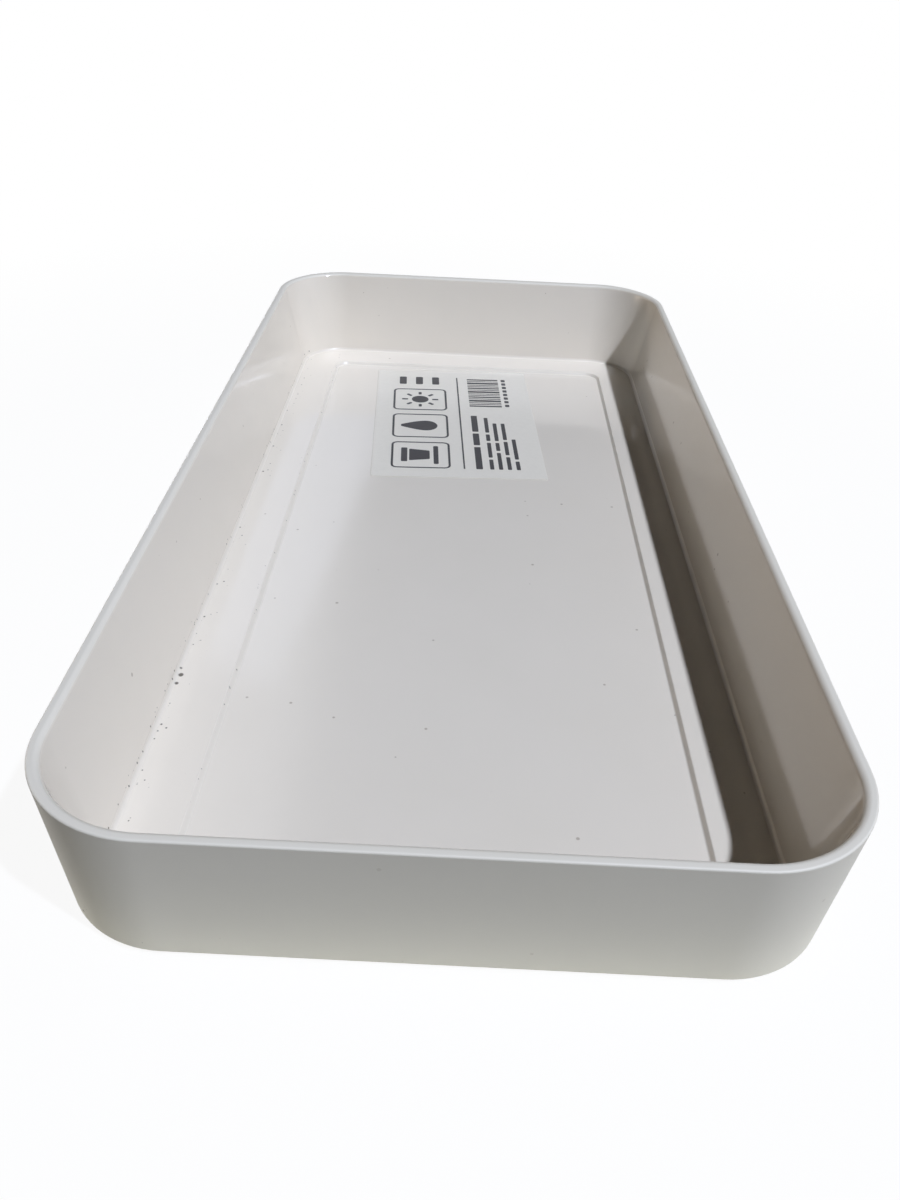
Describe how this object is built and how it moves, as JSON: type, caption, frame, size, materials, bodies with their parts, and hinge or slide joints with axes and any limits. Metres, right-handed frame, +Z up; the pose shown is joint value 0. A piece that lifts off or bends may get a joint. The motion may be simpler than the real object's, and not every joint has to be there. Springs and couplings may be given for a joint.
{
  "type": "plant saucer",
  "caption": "Rectangular off-white moulded plant saucer with low leaning walls, rounded corners, a sunken floor panel and a paper label stuck to the floor.",
  "frame": {"origin": "middle of the face that the saucer stands on, on its underside", "axes": "+Z up, +Y along the length towards the end that holds the label, +X across the width"},
  "size_m": [0.14, 0.29, 0.0308],
  "materials": {
    "fibre_resin": "off-white plant-fibre resin, glossy inside and satin outside, with a few fine flecks",
    "adhesive": "thin clear pressure-sensitive film, slightly yellow",
    "label_paper": null
  },
  "bodies": {
    "root": {"saucer_body": "fibre_resin", "label_adhesive": "adhesive", "label_paper": "label_paper"}
  },
  "joints": []
}
